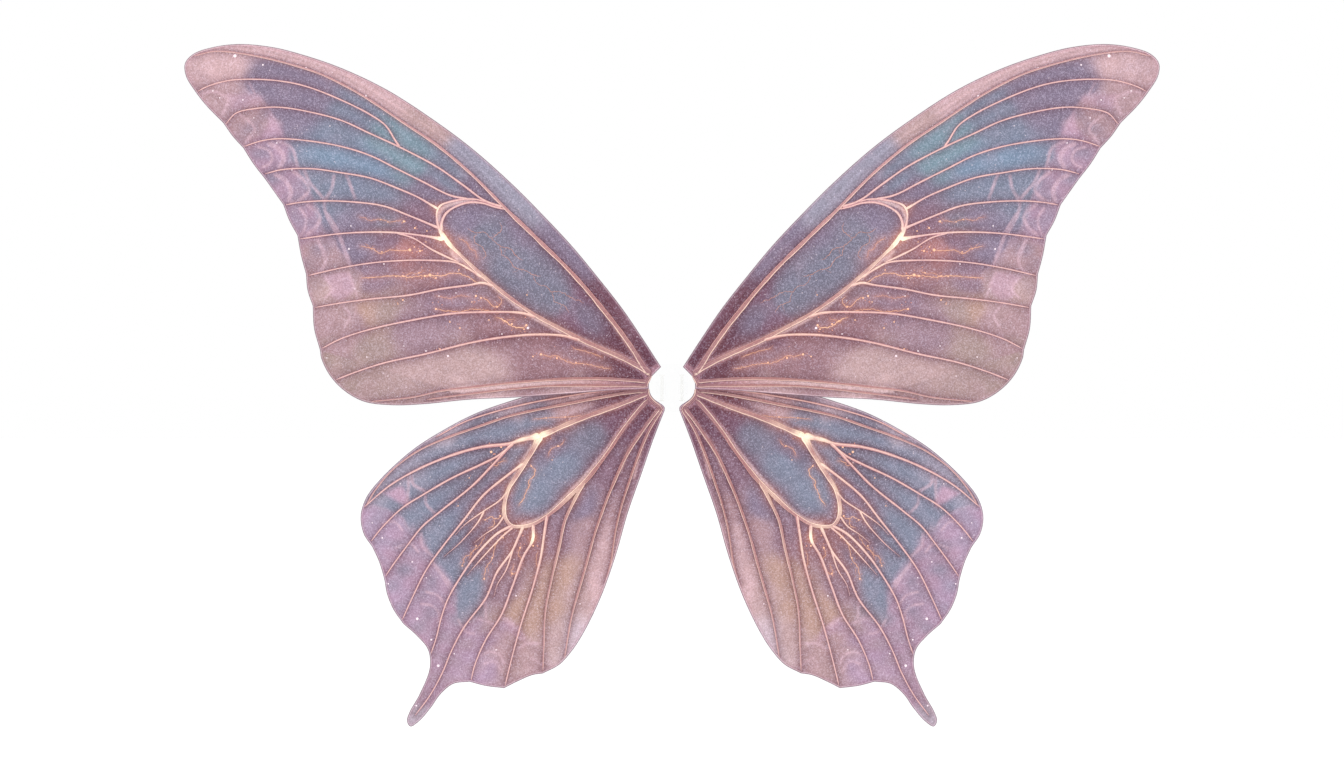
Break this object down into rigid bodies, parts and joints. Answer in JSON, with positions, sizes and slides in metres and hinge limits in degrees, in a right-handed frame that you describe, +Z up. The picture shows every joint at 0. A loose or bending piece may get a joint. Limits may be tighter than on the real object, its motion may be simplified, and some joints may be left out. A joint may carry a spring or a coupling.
{
  "type": "costume fairy wings",
  "caption": "Butterfly-shaped costume wings: veined, printed forewings and hindwings on a small clear back hub, each side folding on a pin and each hindwing swinging up behind its forewing.",
  "frame": {"origin": "centre of the hub's rear face, which rests on the wearer's back", "axes": "+X across the span to the viewer's right as the display side is seen, +Y towards the wearer's back, +Z up"},
  "size_m": [0.975, 0.019, 0.6828],
  "materials": {
    "film": "printed, glittered laminated film",
    "vein": "pearly moulded relief",
    "edge": "satin bound edge",
    "spar": "pultruded rod",
    "clear_plastic": "clear moulded",
    "steel": "plain",
    "nylon": "plain"
  },
  "bodies": {
    "hub": {"hub": "clear_plastic", "right_hinge_pin": "nylon", "right_hinge_pin_clip": "nylon", "left_hinge_pin": "nylon", "left_hinge_pin_clip": "nylon"},
    "right_forewing": {"right_forewing_film": "film", "right_forewing_edge": "edge", "right_forewing_veins": "vein", "right_forewing_leading_spar": "spar", "right_forewing_trailing_spar": "spar", "right_forewing_root_plate": "clear_plastic", "right_carrier": "clear_plastic", "right_pivot_screw": "steel", "right_pivot_washer": "nylon", "right_lower_spacer": "nylon", "right_lower_screw": "steel", "right_upper_spacer": "nylon", "right_upper_screw": "steel"},
    "right_hindwing": {"right_hindwing_film": "film", "right_hindwing_edge": "edge", "right_hindwing_veins": "vein", "right_hindwing_upper_spar": "spar", "right_hindwing_lower_spar": "spar", "right_hindwing_root_plate": "clear_plastic"},
    "left_forewing": {"left_forewing_film": "film", "left_forewing_edge": "edge", "left_forewing_veins": "vein", "left_forewing_leading_spar": "spar", "left_forewing_trailing_spar": "spar", "left_forewing_root_plate": "clear_plastic", "left_carrier": "clear_plastic", "left_pivot_screw": "steel", "left_pivot_washer": "nylon", "left_lower_spacer": "nylon", "left_lower_screw": "steel", "left_upper_spacer": "nylon", "left_upper_screw": "steel"},
    "left_hindwing": {"left_hindwing_film": "film", "left_hindwing_edge": "edge", "left_hindwing_veins": "vein", "left_hindwing_upper_spar": "spar", "left_hindwing_lower_spar": "spar", "left_hindwing_root_plate": "clear_plastic"}
  },
  "joints": [
    {"name": "right_fold", "type": "hinge", "parent": "hub", "child": "right_forewing", "pos_m": [0.01, -0.0108, 0], "axis": [0, 0, -1], "range_deg": [0, 85]},
    {"name": "right_swing", "type": "hinge", "parent": "right_forewing", "child": "right_hindwing", "pos_m": [0.036, -0.0092, -0.006], "axis": [0, -1, 0], "range_deg": [0, 70]},
    {"name": "left_fold", "type": "hinge", "parent": "hub", "child": "left_forewing", "pos_m": [-0.01, -0.0108, 0], "axis": [0, 0, 1], "range_deg": [0, 85]},
    {"name": "left_swing", "type": "hinge", "parent": "left_forewing", "child": "left_hindwing", "pos_m": [-0.036, -0.0092, -0.006], "axis": [0, 1, 0], "range_deg": [0, 70]}
  ]
}
